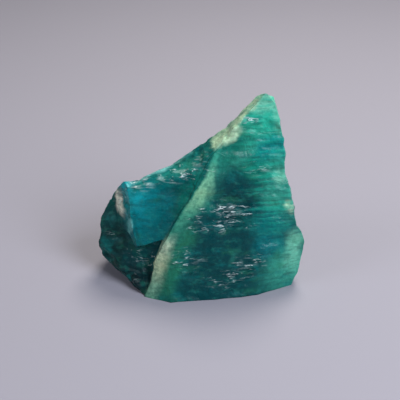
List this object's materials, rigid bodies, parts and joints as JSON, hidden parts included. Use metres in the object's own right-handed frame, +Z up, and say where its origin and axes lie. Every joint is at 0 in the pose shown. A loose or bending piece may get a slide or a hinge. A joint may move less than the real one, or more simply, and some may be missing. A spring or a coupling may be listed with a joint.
{
  "type": "rough green gemstone",
  "caption": "Rough broken green gemstone with a tall pointed flat-faced blade, a lower sloping blue-green shoulder and a dark overhanging flank, resting on a flat underside.",
  "frame": {"origin": "centre of the bounding box in plan, on the surface the stone rests on", "axes": "+X to the right along the stone's width, +Y through its depth away from the main broken face, +Z up towards its point"},
  "size_m": [0.022, 0.0128, 0.0209],
  "materials": {
    "teal_stone": "slightly waxy broken stone, translucent at the thin edges"
  },
  "bodies": {
    "root": {"hauyne_stone": "teal_stone"}
  },
  "joints": []
}
